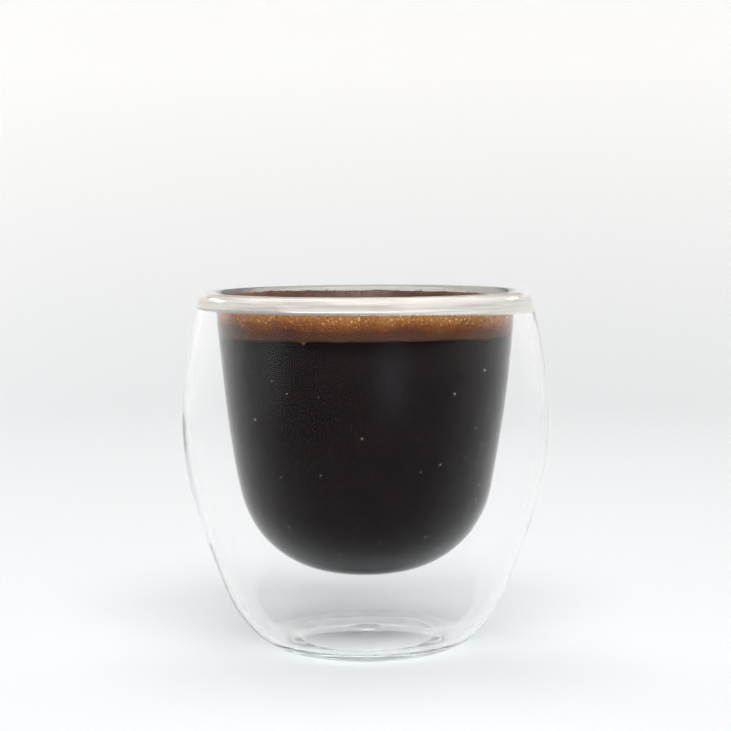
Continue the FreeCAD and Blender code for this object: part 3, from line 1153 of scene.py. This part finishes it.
dish_walk = Walk(0.0, -UNDER_FOOT)
for _ in range(DISH_RUNS):
    dish_walk.straight(DISH_FLOOR / DISH_RUNS)
dish_walk.arc(DISH_BEND, DISH_TURN)
dish_points, dish_faces = lathe(dish_walk.trail[::DISH_EVERY] + [dish_walk.here], DISH_AROUND)
dish_mesh = bpy.data.meshes.new("pale_dish")
dish_mesh.from_pydata((dish_points * MM).tolist(), [], [face[::-1] for face in dish_faces])
dish_mesh.shade_smooth()
dish = bpy.data.objects.new("pale_dish", dish_mesh)
bpy.context.scene.collection.objects.link(dish)
print(f"the dish is {2 * dish_walk.here[0]:.0f} mm across and {dish_walk.here[1]:.0f} mm deep")

# %% Pale card
CARD_TOP = 160.0

card, tree, shader = new_material("pale_card", Roughness=0.9, Specular_IOR_Level=0.1)
climb = stretched(tree, along_axes(tree, object_place(tree))["Z"], 0.0, CARD_TOP * MM)
paint(tree, shader, colour_steps(tree, climb, (0.0, colour(227, 228, 229)),
                                 (1.0, colour(250, 249, 247))))
wear(card, dish)

# %% [markdown]
# ## Light
#
# Four soft boxes light the scene plainly: one overhead, one over the camera and
# two behind at the sides, which shape the edges.  The glass would show the side
# ones as hard squares, so they are hidden from light that has passed through it.

# %% Soft boxes
SOFTBOXES = {  # name: place, target, width, height, power
    "overhead_softbox": ((0.0, 0.18, 0.80), (0, 0, 0.02), 0.60, 0.50, 2.2),
    "front_softbox": ((0.05, -0.44, 0.74), (0, 0, 0.04), 0.70, 0.40, 5.0),
    "left_softbox": ((-0.58, 0.48, 0.22), (0, 0, 0.03), 0.34, 0.36, 2.4),
    "right_softbox": ((0.58, 0.48, 0.22), (0, 0, 0.03), 0.22, 0.36, 1.2),
}


def softbox(name, place, target, width, height, power):
    """A lamp of a size in metres and a power in watts, turned to its target."""
    lamp = bpy.data.lights.new(name, "AREA")
    lamp.shape = "RECTANGLE"
    lamp.size, lamp.size_y, lamp.energy = width, height, power
    box = bpy.data.objects.new(name, lamp)
    box.location = place
    box.rotation_euler = (Vector(target) - Vector(place)).to_track_quat("-Z", "Y").to_euler()
    box.visible_camera = False
    bpy.context.scene.collection.objects.link(box)
    print(f"{name}: {power} W")
    return box


for name, values in SOFTBOXES.items():
    box = softbox(name, *values)
    box.visible_transmission = name not in ("left_softbox", "right_softbox")

# %% [markdown]
# Black coffee behind clear glass is a mirror for whatever stands in the room.
# Two weak bluish strips give it faint upright reflections.  A narrow spread
# lets each strip be seen from its front only, so their edges come out soft.

# %% Strip lamps
STRIP_AWAY, STRIP_WIDE, STRIP_TALL, STRIP_FOOT, STRIP_BEAM = 0.5, 0.20, 0.24, 0.01, 34
STRIP_COLOUR = (0.72, 0.84, 1.0)
# Each strip: its name, how far round from the front in degrees, its power.
STRIPS = [("left_strip", -60, 0.007), ("front_strip", 17, 0.011)]

for name, turn, power in STRIPS:
    side, front = math.sin(math.radians(turn)), -math.cos(math.radians(turn))
    place = (STRIP_AWAY * side, STRIP_AWAY * front, STRIP_FOOT + STRIP_TALL / 2)
    strip = softbox(name, place, (0, 0, 0.04), STRIP_WIDE, STRIP_TALL, power)
    strip.data.color = STRIP_COLOUR
    strip.data.spread = math.radians(STRIP_BEAM)

# %% Room light
ROOM_STRENGTH = 0.3

world = bpy.data.worlds.new("room")
world.use_nodes = True
room = world.node_tree.nodes["Background"].inputs
room["Color"].default_value = (1.0, 1.0, 1.0, 1.0)
room["Strength"].default_value = ROOM_STRENGTH
bpy.context.scene.world = world

# %% [markdown]
# ## The camera
#
# It stands a third of a metre away, a little over the rim, and looks slightly
# down, so that the mouth of the glass is a narrow ellipse.

# %% Camera
LENS, LOOK_DOWN, ROLL = 90.2, 4.69, 0.35

camera_data = bpy.data.cameras.new("camera")
camera_data.lens = LENS
camera = bpy.data.objects.new("camera", camera_data)
camera.location = (0.00023, -0.330, 0.0780)
camera.rotation_euler = (math.radians(90 - LOOK_DOWN), math.radians(ROLL), 0.0)
bpy.context.scene.collection.objects.link(camera)
bpy.context.scene.camera = camera
bpy.context.scene.view_settings.view_transform = "Standard"
print(f"camera at {camera.location.length:.2f} m")

# %% [markdown]
# ## How far light may go
#
# Light that enters a thick rim or heel is caught in the wall and is thrown
# from face to face many times before it leaves.  If it is given up too soon,
# those places turn black, so the number of bounces is raised.

# %% Bounces
BOUNCES = 32

for kind in ("max_bounces", "transmission_bounces", "glossy_bounces", "transparent_max_bounces"):
    setattr(bpy.context.scene.cycles, kind, BOUNCES)
